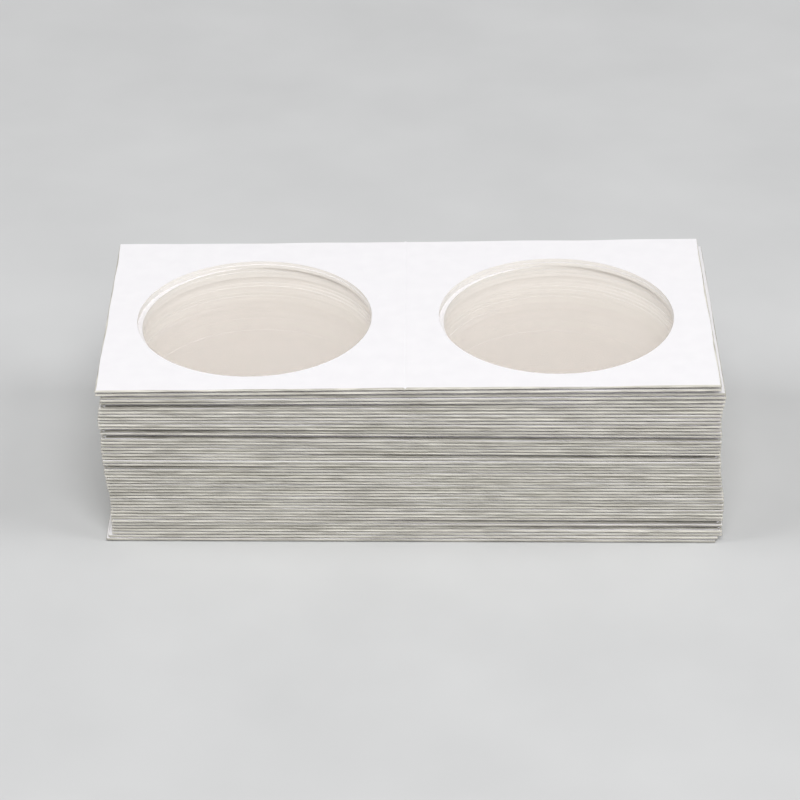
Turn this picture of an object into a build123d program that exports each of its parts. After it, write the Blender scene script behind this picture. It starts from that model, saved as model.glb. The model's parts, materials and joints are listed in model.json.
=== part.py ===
"""A squared-up pile of coin flips that lie open, with the top flip free to lift off and fold.

A flip is a die-cut white card with two round windows, a score pressed across its outer face and a clear
film bonded over its inner face. Here every inner face is down: lifted by its crease, a flip folds as its
halves hang, and its two films close on the coin between them. The origin is the centre of the lowest
film's underside, a flip's length runs along X and the front of the pile faces -Y.
"""

import os
from collections import namedtuple
from math import atan2, degrees

from build123d import *

# One flip, in millimetres
SQUARE = 50.8  # an open flip is two 2 inch squares side by side
CARD_THICKNESS = 0.53
FILM_THICKNESS = 0.05
FILM_INSET = 0.4  # bare border of card round the film
WINDOW_DIAMETER = 39.5
PUNCH_OFFSET_X = -0.44  # windows and score are punched a little off the card's centre
PUNCH_OFFSET_Y = -1.35
SCORE_WIDTH = 0.6
SCORE_DEPTH = 0.1

# How the pile lies. Each handful was squared up and laid down in one go, the lowest is first. Its flips shift
# from x_low to x_high, left and right are how far its front corners stand back, and each flip of a loose
# handful adds its fan to the rise of the pile's right end.
Handful = namedtuple("Handful", "flips x_low x_high left right fan", defaults=[0.0])
PILE = [
    Handful(flips=1, x_low=0.0, x_high=0.0, left=0.0, right=0.0),
    Handful(flips=1, x_low=0.4, x_high=0.4, left=0.08, right=0.08),
    Handful(flips=2, x_low=1.0, x_high=1.0, left=0.14, right=0.18),
    Handful(flips=1, x_low=0.95, x_high=0.95, left=0.14, right=0.34),
    Handful(flips=2, x_low=0.95, x_high=0.95, left=0.12, right=0.26),
    Handful(flips=3, x_low=1.0, x_high=1.0, left=0.26, right=0.04),
    Handful(flips=5, x_low=1.02, x_high=0.96, left=0.28, right=0.12),
    Handful(flips=3, x_low=0.88, x_high=0.62, left=0.28, right=0.24),
    Handful(flips=7, x_low=0.53, x_high=0.12, left=0.28, right=0.24),
    Handful(flips=2, x_low=0.07, x_high=0.07, left=0.12, right=0.18),
    Handful(flips=2, x_low=0.03, x_high=0.0, left=0.34, right=0.28),
    Handful(flips=6, x_low=0.0, x_high=0.0, left=0.42, right=0.08),
    Handful(flips=2, x_low=0.06, x_high=-0.05, left=0.26, right=-0.06, fan=0.06),
    Handful(flips=2, x_low=-0.2, x_high=-0.25, left=0.16, right=-0.08, fan=0.06),
    Handful(flips=1, x_low=-0.26, x_high=-0.26, left=0.24, right=-0.1, fan=0.06),
    Handful(flips=1, x_low=-0.27, x_high=-0.27, left=0.26, right=0.0, fan=0.06),
    Handful(flips=1, x_low=-0.25, x_high=-0.25, left=0.28, right=0.1, fan=0.06),
    Handful(flips=3, x_low=-0.15, x_high=0.06, left=0.36, right=0.22, fan=0.06),
    Handful(flips=3, x_low=0.15, x_high=0.22, left=0.14, right=0.2, fan=0.16),
    Handful(flips=1, x_low=-0.6, x_high=-0.6, left=0.05, right=0.12, fan=0.16),
    Handful(flips=1, x_low=-0.62, x_high=-0.62, left=0.16, right=0.24, fan=0.16),
]
SLIP = 0.03  # most that one flip strays from its handful
TWIST = 0.04  # most that it turns, in degrees
SLIP_X_STEP = 0.618  # steps of the repeatable strays
SLIP_Y_STEP = 0.755
TWIST_STEP = 0.570
FAN_REACH = 1.0  # from the lowest card's left edge out to the line that the flips fan about

# The pile parts at two gaps into handfuls that lift off, counted in flips from the bottom
LOWER_FLIPS = 7
MIDDLE_FLIPS = 28

# Windows deep in the pile are cut with straight sides, the ones that show are round
ROUND_WINDOW_FLIPS = 4
DEEP_WINDOW_SIDES = 24

# Worked out from the sizes above
CARD_LENGTH = 2 * SQUARE
CARD_WIDTH = SQUARE
WINDOW_SPACING = SQUARE  # between the centres of the two windows
FLIP_THICKNESS = CARD_THICKNESS + FILM_THICKNESS
FLIP_COUNT = sum(handful.flips for handful in PILE)
FAN_X = -CARD_LENGTH / 2 - FAN_REACH
CARD_LEFT = -CARD_LENGTH / 2
CARD_RIGHT = CARD_LENGTH / 2
SCORE_LEFT = PUNCH_OFFSET_X - SCORE_WIDTH / 2
SCORE_RIGHT = PUNCH_OFFSET_X + SCORE_WIDTH / 2


def sheet(x_from, x_to, width, bottom, thickness):
    """Flat sheet between two x values, centred on Y."""
    blank = Box(x_to - x_from, width, thickness)
    return Pos((x_from + x_to) / 2, 0, bottom + thickness / 2) * blank


def card_sheet(x_from, x_to):
    return sheet(x_from, x_to, CARD_WIDTH, FILM_THICKNESS, CARD_THICKNESS)


def film_sheet(x_from, x_to):
    """Film bonded to the card's inner face, which is its underside."""
    return sheet(x_from, x_to, CARD_WIDTH - 2 * FILM_INSET, 0, FILM_THICKNESS)


def score_cutter():
    """Wedge that presses the score into the card's outer face. Half of it stands above the face."""
    section = Polygon(
        (-SCORE_WIDTH, SCORE_DEPTH),
        (SCORE_WIDTH, SCORE_DEPTH),
        (0, -SCORE_DEPTH),
        align=None,
    )
    wedge = extrude(Plane.XZ * section, CARD_WIDTH, both=True)
    return Pos(PUNCH_OFFSET_X, 0, FLIP_THICKNESS) * wedge


def window_cutter(side, is_round):
    """Punch for one window: side is -1 for the left one and 1 for the right one."""
    if is_round:
        outline = Circle(WINDOW_DIAMETER / 2)
    else:
        outline = RegularPolygon(WINDOW_DIAMETER / 2, DEEP_WINDOW_SIDES, major_radius=False)
    centre = Pos(PUNCH_OFFSET_X + side * WINDOW_SPACING / 2, PUNCH_OFFSET_Y, 0)
    return centre * extrude(outline, 2 * FLIP_THICKNESS, both=True)


def whole_card(is_round):
    windows = window_cutter(-1, is_round) + window_cutter(1, is_round)
    return card_sheet(CARD_LEFT, CARD_RIGHT) - score_cutter() - windows


def whole_film():
    return film_sheet(CARD_LEFT + FILM_INSET, CARD_RIGHT - FILM_INSET)


def stray(index, step):
    """Repeatable stray between -1 and 1, which is 0 for the lowest flip."""
    return 2 * ((index * step + 0.5) % 1) - 1


def lay(index, rise, x, y, yaw):
    """Place of a flip: slid and turned in its own plane, then raised and fanned."""
    tilt = degrees(atan2(rise, CARD_LENGTH))
    slid = Pos(x - FAN_X, y, 0) * Rot(0, 0, yaw)
    return Pos(FAN_X, 0, index * FLIP_THICKNESS) * Rot(0, -tilt, 0) * slid


def pile_places():
    """Places of all the flips, from the lowest up."""
    places = []
    rise = 0
    for handful in PILE:
        handful_yaw = degrees(atan2(handful.right - handful.left, CARD_LENGTH))
        for step in range(handful.flips):
            index = len(places)
            share = step / max(handful.flips - 1, 1)
            x = handful.x_low + share * (handful.x_high - handful.x_low)
            x += SLIP * stray(index, SLIP_X_STEP)
            y = (handful.left + handful.right) / 2 + SLIP * stray(index, SLIP_Y_STEP)
            yaw = handful_yaw + TWIST * stray(index, TWIST_STEP)
            rise += handful.fan
            places.append(lay(index, rise, x, y, yaw))
    return places


def pile_cards(places):
    """Whole cards below the top flip, numbered from the lowest up."""
    deep_card = whole_card(is_round=False)
    round_card = whole_card(is_round=True)
    first_round = FLIP_COUNT - ROUND_WINDOW_FLIPS
    nodes = {}
    for index, place in enumerate(places):
        card = round_card if index >= first_round else deep_card
        nodes[f"card_{index + 1:02d}"] = place * card
    return nodes


def pile_films(places):
    """Films of the cards below the top flip, one node for each handful that lifts."""
    film = whole_film()
    films = [place * film for place in places]
    middle_end = LOWER_FLIPS + MIDDLE_FLIPS
    return {
        "films_lower": Compound(films[:LOWER_FLIPS]),
        "films_middle": Compound(films[LOWER_FLIPS:middle_end]),
        "films_upper": Compound(films[middle_end:]),
    }


def top_flip(place):
    """The top flip as its two halves and the scored crease between them."""
    pieces = {
        "top_card_left": card_sheet(CARD_LEFT, SCORE_LEFT) - window_cutter(-1, True),
        "top_card_right": card_sheet(SCORE_RIGHT, CARD_RIGHT) - window_cutter(1, True),
        "top_crease": card_sheet(SCORE_LEFT, SCORE_RIGHT) - score_cutter(),
        "top_film_left": film_sheet(CARD_LEFT + FILM_INSET, PUNCH_OFFSET_X),
        "top_film_right": film_sheet(PUNCH_OFFSET_X, CARD_RIGHT - FILM_INSET),
    }
    return {name: place * piece for name, piece in pieces.items()}


def fold_axis(place):
    """Point and direction of the top flip's fold, on the film's inner face under the score."""
    axis = place * Pos(PUNCH_OFFSET_X, 0, 0)
    return axis.position, Plane(axis).y_dir


def main():
    places = pile_places()
    below, top = places[:-1], places[-1]
    nodes = {**pile_cards(below), **pile_films(below), **top_flip(top)}
    os.makedirs("parts", exist_ok=True)
    for name, shape in nodes.items():
        export_step(shape, f"parts/{name}.step")
    point, direction = fold_axis(top)
    print(f"{FLIP_COUNT} flips in {len(nodes)} nodes")
    print(f"fold axis at {tuple(point)} along {tuple(direction)}")


main()
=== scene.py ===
import json
import math
from collections import namedtuple

import bpy
import numpy as np
from mathutils import Matrix, Vector, noise
from mathutils.geometry import delaunay_2d_cdt


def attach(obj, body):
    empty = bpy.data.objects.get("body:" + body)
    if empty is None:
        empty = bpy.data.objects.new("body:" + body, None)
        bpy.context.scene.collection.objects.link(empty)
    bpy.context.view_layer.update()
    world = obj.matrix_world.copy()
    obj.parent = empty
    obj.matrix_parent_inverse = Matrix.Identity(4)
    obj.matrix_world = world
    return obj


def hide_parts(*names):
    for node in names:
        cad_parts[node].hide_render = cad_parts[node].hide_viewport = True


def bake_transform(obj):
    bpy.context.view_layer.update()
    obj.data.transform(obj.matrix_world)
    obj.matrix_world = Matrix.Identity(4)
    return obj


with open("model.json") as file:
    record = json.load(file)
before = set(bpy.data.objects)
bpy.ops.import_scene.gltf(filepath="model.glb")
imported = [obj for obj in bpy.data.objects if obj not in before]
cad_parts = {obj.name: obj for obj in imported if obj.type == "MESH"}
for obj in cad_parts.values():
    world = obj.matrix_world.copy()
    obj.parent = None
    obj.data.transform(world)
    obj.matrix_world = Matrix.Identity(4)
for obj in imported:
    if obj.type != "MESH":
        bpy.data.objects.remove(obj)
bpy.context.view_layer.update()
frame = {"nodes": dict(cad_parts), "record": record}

# A squared-up pile of open coin flips. The cards are made here with worn, die-cut edges and lie where the
# CAD has them. The top flip is made as two halves that meet at its crease. The films in the pile keep their
# CAD shape.

MM = 0.001

# Camera, fitted to the photograph's 800 by 800 frame
CAMERA_TARGET = Vector((-1.94, 0.0, 12.44)) * MM
CAMERA_DISTANCE = 517.1 * MM
CAMERA_ELEVATION = math.radians(30.96)
CAMERA_AZIMUTH = math.radians(0.17)
CAMERA_ROLL = math.radians(0.1)
FOCAL_PIXELS = 3011.0
IMAGE_PIXELS = 800.0
SENSOR_WIDTH = 36.0
NEAR_CLIP = 0.01

# Soft light of a small studio, in metres and watts
Softbox = namedtuple("Softbox", "name place diameter watts")
SOFTBOXES = (
    Softbox("key_softbox", (0.1, -1.08, 1.6), 1.2, 26.4),
    Softbox("left_softbox", (-1.2, -0.15, 1.25), 0.9, 8.6),
    Softbox("right_softbox", (1.2, -0.15, 1.25), 0.9, 9.3),
)
SOFTBOX_AIM = (0, 0, 0.03)
FILL_COLOUR = (1.0, 0.99, 0.97, 1)
FILL_STRENGTH = 0.17
FLOOR_REACH = 3.0
FILM_CROSSINGS = 256  # light crosses two faces of every film on its way down and again on its way up
BOUNCES = 48

# Colours of each material, from its darkest spots to its lightest
FACE_TINTS = (0.85, 0.838, 0.862), (0.875, 0.863, 0.885)
EDGE_TINTS = (0.44, 0.423, 0.377), (0.76, 0.739, 0.671)
# The window walls are the same cut board as the outer edges, painted lighter: painted light for the bright
# wells that light them
PAINTED_LIT_WALL_TINTS = (0.95, 0.93, 0.9), (0.98, 0.96, 0.935)
FILM_TINTS = (0.968, 0.924, 0.88), (0.982, 0.942, 0.902)
FLOOR_TINTS = (0.57, 0.575, 0.58), (0.61, 0.615, 0.62)
EDGE_DIMMEST = (0.64, 0.64, 0.62)  # what the lowest tone leaves of the colour of an edge
# The same for a window wall, whose colour is painted lighter as painted light
PAINTED_LIT_WALL_DIMMEST = (0.84, 0.84, 0.82)
FILM_HAZE = 0.03  # share of the light that each face of a film catches

# Grain of a card, per mm along its length, its width and its thickness
EDGE_STREAKS = (0.22, 0.22, 5.0)
WALL_STREAKS = (0.5, 0.5, 5.0)
CUT_FUZZ = (5.0, 5.0, 9.0)
FACE_CLOUDS = 0.35
FACE_FIBRES = 4.0
CARD_SPREAD = 17.3  # keeps the grain of one card apart from the next
RING_SPREAD = 0.6

# Grain of the films and the floor, per metre
FILM_CLOUDS = 90.0
FILM_DUST = 700.0
FLOOR_MOTTLE = 30.0

# One card is a little darker than the next
TONE_STEP = 0.618
LEAST_TONE = 0.5

# Die-cut edges of the cards. A profile runs from the underside up, in pairs: the share of the card's
# height and how far the edge is drawn in there, in mm
EDGE_PROFILE = (
    (0.0, 0.42), (0.12, 0.26), (0.28, 0.1), (0.46, 0.0), (0.7, 0.01), (0.86, 0.06), (1.0, 0.16),
)
WINDOW_PROFILE = ((0.0, 0.01), (0.12, 0.0), (0.88, 0.0), (1.0, 0.02))
EDGE_STEP = 0.5 * MM
CORNER_RADIUS = 0.25 * MM
CORNER_STEPS = 4
WINDOW_STEPS = 160
SWELL = 1.05  # how much the rounding of an edge comes and goes along it
CARD_SWELL = 0.5  # and how much it differs from card to card
SWELL_PER_MM = 0.1
COARSE_BURR = 0.03 * MM
COARSE_PER_MM = 0.17
FINE_BURR = 0.03 * MM
FINE_PER_MM = 0.8
EDGE_DROP = 0.05 * MM
WINDOW_BURR_SHARE = 0.3
WINDOW_BURR_REACH = 0.75  # how much of the fan's gap the burr of a window closes, past the film

# Gaps that show on the front of the pile, named for the card above: how far they open at their left and at
# their right, in mm. A negative end means that the gap closes before it gets there
GAPS = {
    "top_card": (0.15, -0.15),
    "card_49": (0.2, 0.15),
    "card_46": (0.75, -0.25),
    "card_38": (0.6, -0.75),
    "card_36": (0.7, 0.35),
    "card_30": (-0.2, 0.65),
    "card_26": (0.35, -0.5),
    "card_08": (-0.3, 0.65),
    "card_06": (-0.35, 0.5),
}
SHUT = (0.0, 0.0)
GAP_REACH = 30.0 * MM
GAP_LIFT = 0.4  # share of a gap that is taken from the card above it
GAP_DROP = 0.6  # and from the card below it
GAP_WEAR = 1.2  # how far the shoulder of the card below is drawn in for it
GAP_FULL_SHADE_WIDTH = 0.3 * MM  # a gap this wide darkens its lips in full with painted shade
LIP = 4  # how steeply that painted shade fades away from the lip

# The top flip: the stations of its crease, as distances from the fold line, and its film
TOP_CARD = 50
CREASE_STATIONS = tuple(step * 0.075 * MM for step in range(1, 13))
CREASE_CLEARANCE = 1.2 * CREASE_STATIONS[-1]
SCORE_SPRING = 0.35  # share of the pressed depth that is left after the board springs back
FILM_STEP = 1.5 * MM
FILM_WAVE = 0.03 * MM
FILM_WAVE_PER_MM = 0.09
FILM_EDGE_BAND = 3.0 * MM

# Mesh work
FACE, EDGE, WALL = range(3)  # kinds of face on a card
CORNERS = ((-1, -1), (1, -1), (1, 1), (-1, 1))
CORNER_SLACK = 0.02 * MM
CLEAR_OF_EDGE = 1.0 * MM
IN_WINDOW = 0.999  # a triangle whose middle lies within this share of the radius belongs to the window
MERGE_MM = 1e-6
LEAST_TURN = 1e-9
SHARP_ANGLE = math.radians(35)

CardShape = namedtuple(
    "CardShape", "length width thickness film windows radius score_x score_width score_depth"
)
Template = namedtuple("Template", "xy normal rough height inset top faces kind ring is_outline")


def node_points(*names):
    """Points of CAD nodes in the row frame."""
    return np.array([v.co for name in names for v in frame["nodes"][name].data.vertices], float)


def corner(points, side_x, side_y):
    """Lowest point at one corner of a card."""
    reach = side_x * points[:, 0] + side_y * points[:, 1]
    near = points[reach > reach.max() - CORNER_SLACK]
    return near[near[:, 2].argmin()]


def card_place(*names):
    """Matrix from a card's frame, centred on its underside, to the row frame, with its length and width."""
    points = node_points(*names)
    front_left, front_right, back_right, back_left = (corner(points, *side) for side in CORNERS)
    x = Vector(front_right + back_right - front_left - back_left).normalized()
    y = Vector(back_left + back_right - front_left - front_right).normalized()
    z = x.cross(y).normalized()
    centre = (front_left + front_right + back_right + back_left) / 4
    place = Matrix((x, y, z)).transposed().to_4x4()
    place.translation = centre
    length = float(np.linalg.norm(front_right - front_left))
    width = float(np.linalg.norm(back_left - front_left))
    return place, length, width


def local_points(place, name):
    """Points of a CAD node in a card's own frame."""
    inverse = place.inverted()
    return np.array([inverse @ Vector(p) for p in node_points(name)])


def read_card_shape():
    """Sizes of a card, read off the CAD pieces of the top flip."""
    place, length, width = card_place("top_card_left", "top_card_right")
    crease = local_points(place, "top_crease")
    thickness = crease[:, 2].max()
    score_x = (crease[:, 0].min() + crease[:, 0].max()) / 2
    score_width = crease[:, 0].max() - crease[:, 0].min()
    upper = crease[crease[:, 2] > thickness / 2]
    score_depth = thickness - upper[:, 2].min()
    film = np.ptp(local_points(place, "top_film_left")[:, 2])
    windows = []
    radius = 0.0
    for name in ("top_card_left", "top_card_right"):
        points = local_points(place, name)
        low = points.min(0) + CLEAR_OF_EDGE
        high = points.max(0) - CLEAR_OF_EDGE
        rim = points[((points > low) & (points < high))[:, :2].all(1)]
        windows.append((rim.min(0) + rim.max(0))[:2] / 2)
        radius = float((rim.max(0) - rim.min(0))[0] / 2)
    return CardShape(
        length, width, thickness, film, windows, radius, score_x, score_width, score_depth
    )


CARD = read_card_shape()


def score_drop(x):
    """How far the pressed score lowers the card's outer face at x."""
    share = np.clip(np.abs(x - CARD.score_x) / (CARD.score_width / 2), 0, 1)
    return SCORE_SPRING * CARD.score_depth * 0.5 * (1 + np.cos(math.pi * share))


def spaced(low, high, extra):
    """Steps from low to high that make way for the extra stations between them."""
    count = max(int(round((high - low) / EDGE_STEP)), 2)
    steps = np.linspace(low, high, count + 1)
    inner = [x for x in extra if low + EDGE_STEP / 2 < x < high - EDGE_STEP / 2]
    kept = [s for s in steps if all(abs(s - x) > EDGE_STEP / 3 for x in inner)]
    return np.array(sorted(kept + inner))


def arc(centre, start):
    """Points and normals of a rounded corner, from the angle start over a quarter turn."""
    rows = []
    for step in range(CORNER_STEPS + 1):
        angle = start + math.pi / 2 * step / CORNER_STEPS
        normal = (math.cos(angle), math.sin(angle))
        x = centre[0] + CORNER_RADIUS * normal[0]
        y = centre[1] + CORNER_RADIUS * normal[1]
        rows.append((x, y, *normal, 1.0))
    return rows


def card_outline(x_low, x_high, stations):
    """Loop round a card or half card: x, y, normal and how rough. A seam at the fold is left smooth."""
    half = CARD.width / 2
    seam_low = x_low > -CARD.length / 2 + CLEAR_OF_EDGE
    seam_high = x_high < CARD.length / 2 - CLEAR_OF_EDGE
    left = x_low if seam_low else x_low + CORNER_RADIUS
    right = x_high if seam_high else x_high - CORNER_RADIUS
    along_x = spaced(left, right, stations)
    along_y = spaced(-half + CORNER_RADIUS, half - CORNER_RADIUS, ())

    def rough(x):
        on_seam = (seam_low and x <= x_low) or (seam_high and x >= x_high)
        return 0.0 if on_seam else 1.0

    rows = [(x, -half, 0.0, -1.0, rough(x)) for x in along_x]
    if not seam_high:
        rows += arc((right, -half + CORNER_RADIUS), -math.pi / 2)[1:-1]
        rows += [(x_high, y, 1.0, 0.0, 1.0) for y in along_y]
        rows += arc((right, half - CORNER_RADIUS), 0.0)[1:-1]
    rows += [(x, half, 0.0, 1.0, rough(x)) for x in along_x[::-1]]
    if not seam_low:
        rows += arc((left, half - CORNER_RADIUS), math.pi / 2)[1:-1]
        rows += [(x_low, y, -1.0, 0.0, 1.0) for y in along_y[::-1]]
        rows += arc((left, -half + CORNER_RADIUS), math.pi)[1:-1]
    return np.array(rows)


def window_loop(centre):
    """Loop round a window, with normals that point into it."""
    angles = np.arange(WINDOW_STEPS) * 2 * math.pi / WINDOW_STEPS
    out = np.stack([np.cos(angles), np.sin(angles)], 1)
    rough = np.full((WINDOW_STEPS, 1), WINDOW_BURR_SHARE)
    return np.concatenate([centre + CARD.radius * out, -out, rough], 1)


def face_triangles(loops, stations):
    """Triangles between the outline and the windows, with edges along the stations."""
    points = np.concatenate([loop[:, :2] for loop in loops]) / MM
    edges = []
    start = 0
    for loop in loops:
        edges += [(start + i, start + (i + 1) % len(loop)) for i in range(len(loop))]
        start += len(loop)
    outline_x = loops[0][:, 0]
    for x in stations:
        ends = np.flatnonzero(np.abs(outline_x - x) < EDGE_STEP / 100)
        if len(ends) == 2:
            edges.append((int(ends[0]), int(ends[1])))
    result = delaunay_2d_cdt([Vector(p) for p in points], edges, [], 0, MERGE_MM, True)
    source = [ids[0] for ids in result[3]]
    triangles = []
    for face in result[2]:
        tri = [source[i] for i in face]
        a, b, c = points[tri]
        middle = (a + b + c) / 3 * MM
        if any(np.linalg.norm(middle - centre) < CARD.radius * IN_WINDOW for centre in CARD.windows):
            continue
        turn = (b[0] - a[0]) * (c[1] - a[1]) - (b[1] - a[1]) * (c[0] - a[0])
        if abs(turn) > LEAST_TURN:
            triangles.append(tri if turn > 0 else tri[::-1])
    return triangles


def card_template(x_low, x_high, stations):
    """Points and faces of a card, or half of one, before its edges are worn. Its outline comes first."""
    loops = [card_outline(x_low, x_high, stations)]
    loops += [window_loop(centre) for centre in CARD.windows if x_low < centre[0] < x_high]
    rows, rings, faces, kinds, top_ids, bottom_ids = [], [], [], [], [], []
    start = 0
    for index, loop in enumerate(loops):
        is_outline = index == 0
        profile = EDGE_PROFILE if is_outline else WINDOW_PROFILE
        count = len(loop)
        for ring, (height, inset) in enumerate(profile):
            rows.append(loop)
            rings += [(height, inset * MM, ring, is_outline)] * count
        for ring in range(len(profile) - 1):
            low = start + ring * count
            for i in range(count):
                j = (i + 1) % count
                faces.append((low + i, low + j, low + count + j, low + count + i))
                kinds.append(EDGE if is_outline else WALL)
        bottom_ids += range(start, start + count)
        last = start + (len(profile) - 1) * count
        top_ids += range(last, last + count)
        start = last + count
    for a, b, c in face_triangles(loops, stations):
        faces.append((top_ids[a], top_ids[b], top_ids[c]))
        faces.append((bottom_ids[c], bottom_ids[b], bottom_ids[a]))
        kinds += [FACE, FACE]
    rows = np.concatenate(rows)
    height, inset, ring, is_outline = np.array(rings).T
    top = CARD.thickness - score_drop(rows[:, 0])
    return Template(
        rows[:, :2], rows[:, 2:4], rows[:, 4], height, inset, top, faces, kinds, ring, is_outline
    )


def wear(point, per_mm, layer):
    """Smooth noise from about -1 to 1 at a point of a card."""
    return noise.noise(Vector((point[0] / MM * per_mm, point[1] / MM * per_mm, layer)))


def burr(point, per_mm, layer):
    """The same noise from about 0 to 1."""
    return 0.5 + 0.5 * wear(point, per_mm, layer)


def tone_of(card):
    """Repeatable value from 0 to 1 that sets one card apart from the next."""
    return (card * TONE_STEP) % 1


def opening(point, gap):
    """How far a gap is open at a point of a card's outline. It closes towards the back."""
    left, right = gap
    amount = max(0.0, left + (right - left) * (point[0] / CARD.length + 0.5)) * MM
    return amount * max(0.0, 1 - (point[1] + CARD.width / 2) / GAP_REACH)


def wedge_below(point, place, place_below):
    """How far a fanned flip stands off the card below it at a point."""
    if place_below is None:
        return 0.0
    film_face = place @ Vector((*point, -CARD.film))
    card_face = place_below @ Vector((*point, CARD.thickness))
    return max(0.0, film_face.z - card_face.z)


def worn_points(template, card, gap_below, gap_above, wedges):
    """Points of a card in its own frame, with rounded and burred edges, and the tone of each, darkened by
    painted shade at the lips of the gaps.
    """
    points = np.concatenate([template.xy, (template.height * template.top)[:, None]], 1)
    window_foot = (template.is_outline == 0) & (template.height == 0)
    points[window_foot, 2] -= CARD.film + WINDOW_BURR_REACH * wedges[window_foot]
    layer = card * CARD_SPREAD
    rounding = 1 + CARD_SWELL * (2 * tone_of(card) - 1)
    tones = np.full(len(points), LEAST_TONE + (1 - LEAST_TONE) * tone_of(card))
    for i, point in enumerate(template.xy):
        if template.rough[i] == 0:
            continue
        height = template.height[i]
        ring_layer = layer + template.ring[i] * RING_SPREAD
        depth = rounding * template.inset[i] * max(0.0, 1 + SWELL * wear(point, SWELL_PER_MM, layer))
        depth += COARSE_BURR * burr(point, COARSE_PER_MM, ring_layer)
        depth += FINE_BURR * burr(point, FINE_PER_MM, ring_layer)
        if template.is_outline[i]:
            open_above = opening(point, gap_above)
            open_below = opening(point, gap_below)
            # Painted shade: the edge's tone darkens at the lips of an open gap, where the slit between the
            # cards lies in shade.
            dust_and_gap_shade = (open_above * height**LIP + open_below * (1 - height)**LIP) / GAP_FULL_SHADE_WIDTH
            tones[i] *= 1 - min(dust_and_gap_shade, 1.0)
            above = open_above * height
            below = open_below * (1 - height)
            drop = EDGE_DROP * burr(point, SWELL_PER_MM, ring_layer) if height < 1 else 0.0
            points[i, 2] += drop * (1 - 2 * height) + GAP_LIFT * below - GAP_DROP * above
            depth += GAP_WEAR * above
        points[i, :2] -= template.normal[i] * depth * template.rough[i]
    return points, tones


def new_piece(name, points, faces, materials, kinds):
    """Mesh piece in the row frame. Its four-sided faces are shaded smooth."""
    mesh = bpy.data.meshes.new(name)
    mesh.from_pydata([tuple(p) for p in points], [], faces)
    for material in materials:
        mesh.materials.append(material)
    mesh.polygons.foreach_set("material_index", np.array(kinds, np.int32))
    mesh.set_sharp_from_angle(angle=SHARP_ANGLE)
    mesh.polygons.foreach_set("use_smooth", [len(face) == 4 for face in faces])
    mesh.validate()
    mesh.update()
    piece = bpy.data.objects.new(name, mesh)
    bpy.context.scene.collection.objects.link(piece)
    return piece


def store_grain(piece, grain, tones):
    """Stores each point's place on its own card, in mm, which moves the grain with it, and its tone."""
    vectors = piece.data.attributes.new("grain", "FLOAT_VECTOR", "POINT")
    vectors.data.foreach_set("vector", np.asarray(grain, np.float32).ravel())
    values = piece.data.attributes.new("tone", "FLOAT", "POINT")
    values.data.foreach_set("value", np.asarray(tones, np.float32))


def card_piece(name, template, place, place_below, card, gap_below, gap_above):
    """One die-cut card or half card, laid where the CAD has it."""
    wedges = np.array([wedge_below(point, place, place_below) for point in template.xy])
    local, tones = worn_points(template, card, gap_below, gap_above, wedges)
    points = [place @ Vector(p) for p in local]
    materials = [BOARD_FACE, BOARD_EDGE, PAINTED_LIT_WINDOW_WALL]
    piece = new_piece(name, points, template.faces, materials, template.kind)
    store_grain(piece, local / MM + np.array([0.0, 0.0, card * CARD_SPREAD]), tones)
    return piece


def film_stations(x_low, x_high, fold):
    """Steps along half of the top film, closer together at the fold."""
    away = x_low + x_high - 2 * fold
    crease = [fold + math.copysign(step, away) for step in CREASE_STATIONS]
    count = int(round((x_high - x_low) / FILM_STEP))
    steps = np.linspace(x_low, x_high, count + 1)
    kept = [x for x in steps if abs(x - fold) > CREASE_CLEARANCE]
    return np.array(sorted(kept + crease + [fold]))


def film_ripple(points, layer):
    """Height of the film's ripple, which dies out towards the rim of the window."""
    heights = np.zeros(len(points))
    for i, point in enumerate(points):
        inside = max(CARD.radius - np.linalg.norm(point - centre) for centre in CARD.windows)
        if inside > 0:
            share = min(inside / FILM_EDGE_BAND, 1.0)
            where = Vector((*point / MM * FILM_WAVE_PER_MM, layer))
            heights[i] = FILM_WAVE * share * noise.noise(where)
    return heights


def sheet_faces(count_x, count_y):
    """Faces of a closed sheet on a grid of points: the lower layer comes first, then the upper one."""
    layer = count_x * count_y

    def at(i, j):
        return i * count_y + j

    faces = []
    for i in range(count_x - 1):
        for j in range(count_y - 1):
            quad = (at(i, j), at(i + 1, j), at(i + 1, j + 1), at(i, j + 1))
            faces.append(tuple(q + layer for q in quad))
            faces.append(quad[::-1])
    rim = [at(i, 0) for i in range(count_x)]
    rim += [at(count_x - 1, j) for j in range(1, count_y)]
    rim += [at(i, count_y - 1) for i in range(count_x - 2, -1, -1)]
    rim += [at(0, j) for j in range(count_y - 2, 0, -1)]
    for a, b in zip(rim, rim[1:] + rim[:1]):
        faces.append((a, b, b + layer, a + layer))
    return faces


def film_piece(name, x_low, x_high, fold, place, width):
    """Half of the top flip's film: a taut sheet that ripples a little where it spans the window."""
    xs = film_stations(x_low, x_high, fold)
    ys = np.linspace(-width / 2, width / 2, int(round(width / FILM_STEP)) + 1)
    grid_x, grid_y = np.meshgrid(xs, ys, indexing="ij")
    flat = np.stack([grid_x.ravel(), grid_y.ravel()], 1)
    ripple = film_ripple(flat, x_low / MM)
    lower = np.concatenate([flat, ripple[:, None] - CARD.film], 1)
    upper = np.concatenate([flat, ripple[:, None]], 1)
    points = [place @ Vector(p) for p in np.concatenate([lower, upper])]
    faces = sheet_faces(len(xs), len(ys))
    piece = new_piece(name, points, faces, [TOP_FILM], [0] * len(faces))
    return piece


def new_material(name):
    material = bpy.data.materials.new(name)
    material.use_nodes = True
    return material, material.node_tree.nodes, material.node_tree.links


def value_noise(nodes, links, vector, scale, detail):
    texture = nodes.new("ShaderNodeTexNoise")
    texture.inputs["Scale"].default_value = scale
    texture.inputs["Detail"].default_value = detail
    links.new(vector, texture.inputs["Vector"])
    return texture.outputs["Fac"]


def stretched(nodes, links, vector, scale):
    mapping = nodes.new("ShaderNodeMapping")
    mapping.inputs["Scale"].default_value = scale
    links.new(vector, mapping.inputs["Vector"])
    return mapping.outputs["Vector"]


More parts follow.
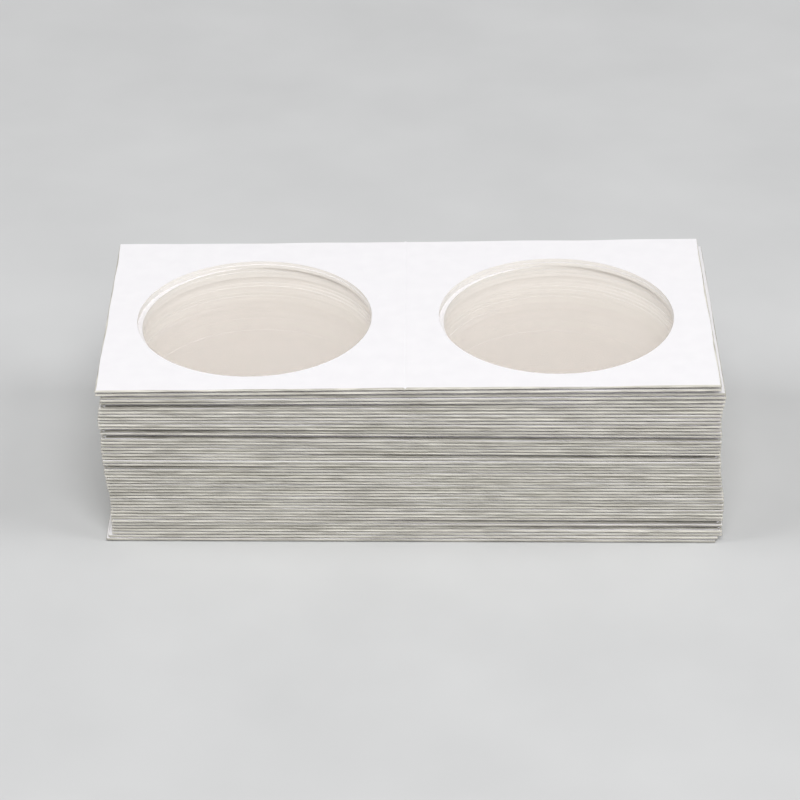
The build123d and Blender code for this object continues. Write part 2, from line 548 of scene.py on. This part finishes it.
def ramp(nodes, links, factor, low, high, low_at=0.3, high_at=0.7):
    """Colour that runs from low to high as the factor rises."""
    node = nodes.new("ShaderNodeValToRGB")
    node.color_ramp.elements[0].position = low_at
    node.color_ramp.elements[0].color = (*low, 1)
    node.color_ramp.elements[1].position = high_at
    node.color_ramp.elements[1].color = (*high, 1)
    links.new(factor, node.inputs["Fac"])
    return node.outputs["Color"]


def spread(nodes, links, value, low, high):
    """Value from 0 to 1 moved to the range from low to high."""
    node = nodes.new("ShaderNodeMapRange")
    node.inputs["To Min"].default_value = low
    node.inputs["To Max"].default_value = high
    links.new(value, node.inputs["Value"])
    return node.outputs["Result"]


def bump(nodes, links, height, strength, distance):
    node = nodes.new("ShaderNodeBump")
    node.inputs["Strength"].default_value = strength
    node.inputs["Distance"].default_value = distance
    links.new(height, node.inputs["Height"])
    return node.outputs["Normal"]


def stored(nodes, name):
    """Value that store_grain has left on the points of a card."""
    node = nodes.new("ShaderNodeAttribute")
    node.attribute_name = name
    return node


def object_place(nodes):
    return nodes.new("ShaderNodeTexCoord").outputs["Object"]


def face_material():
    """Smooth white face of the board, with faint cloudy formation and fine fibres."""
    material, nodes, links = new_material("white_board")
    shader = nodes["Principled BSDF"]
    grain = stored(nodes, "grain").outputs["Vector"]
    cloud = value_noise(nodes, links, grain, FACE_CLOUDS, detail=4.0)
    fibre = value_noise(nodes, links, grain, FACE_FIBRES, detail=5.0)
    links.new(ramp(nodes, links, cloud, *FACE_TINTS), shader.inputs["Base Color"])
    links.new(spread(nodes, links, fibre, low=0.5, high=0.7), shader.inputs["Roughness"])
    relief = bump(nodes, links, fibre, strength=0.35, distance=0.02 * MM)
    links.new(relief, shader.inputs["Normal"])
    shader.inputs["Specular IOR Level"].default_value = 0.35
    return material


def cut_material(name, tints, streak_scale, dimmest):
    """Raw die-cut board: torn fibres run along the cut, and one card is a little darker than the next. On
    the outer edges the tone also carries painted shade at the lips of the gaps.
    """
    material, nodes, links = new_material(name)
    shader = nodes["Principled BSDF"]
    grain = stored(nodes, "grain").outputs["Vector"]
    tone = stored(nodes, "tone").outputs["Fac"]
    streaks = value_noise(nodes, links, stretched(nodes, links, grain, streak_scale), 1.0, detail=4.0)
    fuzz = value_noise(nodes, links, stretched(nodes, links, grain, CUT_FUZZ), 1.0, detail=3.0)
    torn = ramp(nodes, links, streaks, *tints, low_at=0.32, high_at=0.66)
    dimming = ramp(nodes, links, tone, dimmest, (1.0, 1.0, 1.0), low_at=0.0, high_at=1.0)
    mix = nodes.new("ShaderNodeMix")
    mix.data_type = "RGBA"
    mix.blend_type = "MULTIPLY"
    mix.inputs["Factor"].default_value = 1.0
    links.new(torn, mix.inputs["A"])
    links.new(dimming, mix.inputs["B"])
    links.new(mix.outputs["Result"], shader.inputs["Base Color"])
    links.new(spread(nodes, links, fuzz, low=0.8, high=1.0), shader.inputs["Roughness"])
    relief = bump(nodes, links, fuzz, strength=0.6, distance=0.04 * MM)
    links.new(relief, shader.inputs["Normal"])
    shader.inputs["Specular IOR Level"].default_value = 0.2
    return material


def top_film_material():
    """Clear film of the top flip, a little hazy, with a soft ripple and fine dust."""
    material, nodes, links = new_material("clear_film")
    shader = nodes["Principled BSDF"]
    place = object_place(nodes)
    ripple = value_noise(nodes, links, place, FILM_CLOUDS, detail=1.0)
    dust_and_gap_shade = value_noise(nodes, links, place, FILM_DUST, detail=2.0)
    links.new(ramp(nodes, links, dust_and_gap_shade, *FILM_TINTS), shader.inputs["Base Color"])
    links.new(spread(nodes, links, dust_and_gap_shade, low=0.12, high=0.24), shader.inputs["Roughness"])
    relief = bump(nodes, links, ripple, strength=0.25, distance=0.4 * MM)
    links.new(relief, shader.inputs["Normal"])
    shader.inputs["Alpha"].default_value = FILM_HAZE
    return material


def deep_film_material():
    """The same film deep in the pile, where only its cloudy haze shows and adds up to a milky depth."""
    material, nodes, links = new_material("clear_film_deep")
    shader = nodes["Principled BSDF"]
    cloud = value_noise(nodes, links, object_place(nodes), FILM_CLOUDS, detail=0.0)
    links.new(ramp(nodes, links, cloud, *FILM_TINTS), shader.inputs["Base Color"])
    shader.inputs["Roughness"].default_value = 0.18
    shader.inputs["Alpha"].default_value = FILM_HAZE
    return material


def floor_material():
    """Plain pale floor, faintly mottled."""
    material, nodes, links = new_material("studio_floor")
    shader = nodes["Principled BSDF"]
    mottle = value_noise(nodes, links, object_place(nodes), FLOOR_MOTTLE, detail=3.0)
    links.new(ramp(nodes, links, mottle, *FLOOR_TINTS), shader.inputs["Base Color"])
    shader.inputs["Roughness"].default_value = 0.85
    return material


BOARD_FACE = face_material()
BOARD_EDGE = cut_material("board_edge", EDGE_TINTS, EDGE_STREAKS, EDGE_DIMMEST)
# The window walls get a lighter copy of the edge colour: painted light for the bright wells around them.
PAINTED_LIT_WINDOW_WALL = cut_material("painted_lit_window_wall", PAINTED_LIT_WALL_TINTS, WALL_STREAKS, PAINTED_LIT_WALL_DIMMEST)
TOP_FILM = top_film_material()
DEEP_FILM = deep_film_material()
BODIES = frame["record"]["behaviour"]["bodies"]
BODY_OF = {node: body for body, nodes in BODIES.items() for node in nodes}


def build_pile():
    """The whole cards below the top flip, from the lowest up. Returns the place of the uppermost."""
    quarter = CARD.score_width / 4
    stations = [CARD.score_x + step * quarter for step in range(-2, 3)]
    template = card_template(-CARD.length / 2, CARD.length / 2, stations)
    names = sorted(name for name in frame["nodes"] if name.startswith("card_"))
    place_below = None
    for card, name in enumerate(names):
        place, _, _ = card_place(name)
        above = names[card + 1] if card + 1 < len(names) else "top_card"
        gaps = GAPS.get(name, SHUT), GAPS.get(above, SHUT)
        piece = card_piece(f"{name}_sheet", template, place, place_below, card, *gaps)
        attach(piece, BODY_OF[name])
        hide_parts(name)
        place_below = place
    return place_below


def build_top_flip(place_below):
    """The top flip's halves, each built out from the crease that they share. The left one replaces it."""
    place, _, _ = card_place("top_card_left", "top_card_right")
    film = local_points(place, "top_film_left")
    film_width = film[:, 1].max() - film[:, 1].min()
    film_inset = film[:, 0].min() + CARD.length / 2
    replaced = {"left": ("top_card_left", "top_crease"), "right": ("top_card_right",)}
    gaps = GAPS["top_card"], SHUT
    for side, sign in (("left", -1), ("right", 1)):
        far = sign * CARD.length / 2
        stations = [CARD.score_x + sign * step for step in CREASE_STATIONS]
        x_low, x_high = sorted((far, CARD.score_x))
        template = card_template(x_low, x_high, stations)
        card = card_piece(f"top_{side}_sheet", template, place, place_below, TOP_CARD, *gaps)
        x_low, x_high = sorted((far - sign * film_inset, CARD.score_x))
        sheet = film_piece(f"top_{side}_film_sheet", x_low, x_high, CARD.score_x, place, film_width)
        for piece in (card, sheet):
            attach(piece, f"{side}_half")
            piece.parent = None
            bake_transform(piece)
        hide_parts(f"top_film_{side}")
        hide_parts(*replaced[side])


def dress_films():
    """The films in the pile keep their CAD shape."""
    for name in ("films_lower", "films_middle", "films_upper"):
        mesh = frame["nodes"][name].data
        mesh.materials.clear()
        mesh.materials.append(DEEP_FILM)


def build_floor():
    mesh = bpy.data.meshes.new("studio_floor")
    corners = [(x * FLOOR_REACH, y * FLOOR_REACH, 0) for x, y in CORNERS]
    mesh.from_pydata(corners, [], [(0, 1, 2, 3)])
    mesh.materials.append(floor_material())
    floor = bpy.data.objects.new("studio_floor", mesh)
    bpy.context.scene.collection.objects.link(floor)


def build_light():
    for softbox in SOFTBOXES:
        lamp = bpy.data.lights.new(softbox.name, "AREA")
        lamp.shape = "DISK"
        lamp.size = softbox.diameter
        lamp.energy = softbox.watts
        holder = bpy.data.objects.new(softbox.name, lamp)
        holder.location = softbox.place
        aim = Vector(SOFTBOX_AIM) - Vector(softbox.place)
        holder.rotation_euler = aim.to_track_quat("-Z", "Y").to_euler()
        bpy.context.scene.collection.objects.link(holder)
    world = bpy.data.worlds.new("studio")
    world.use_nodes = True
    background = world.node_tree.nodes["Background"]
    background.inputs["Color"].default_value = FILL_COLOUR
    background.inputs["Strength"].default_value = FILL_STRENGTH
    bpy.context.scene.world = world


def build_camera():
    lens = bpy.data.cameras.new("photo_camera")
    lens.sensor_width = SENSOR_WIDTH
    lens.lens = FOCAL_PIXELS / IMAGE_PIXELS * SENSOR_WIDTH
    lens.clip_start = NEAR_CLIP
    camera = bpy.data.objects.new("photo_camera", lens)
    flat = math.cos(CAMERA_ELEVATION)
    back = Vector(
        (math.sin(CAMERA_AZIMUTH) * flat, -math.cos(CAMERA_AZIMUTH) * flat, math.sin(CAMERA_ELEVATION))
    )
    aim = (-back).to_track_quat("-Z", "Y").to_matrix().to_4x4() @ Matrix.Rotation(CAMERA_ROLL, 4, "Z")
    camera.matrix_world = Matrix.Translation(CAMERA_TARGET + back * CAMERA_DISTANCE) @ aim
    bpy.context.scene.collection.objects.link(camera)
    bpy.context.scene.camera = camera


def set_view():
    scene = bpy.context.scene
    scene.view_settings.view_transform = "Standard"
    scene.cycles.transparent_max_bounces = FILM_CROSSINGS
    scene.cycles.max_bounces = BOUNCES
    scene.cycles.diffuse_bounces = BOUNCES


uppermost_place = build_pile()
build_top_flip(uppermost_place)
dress_films()
build_floor()
build_light()
build_camera()
set_view()
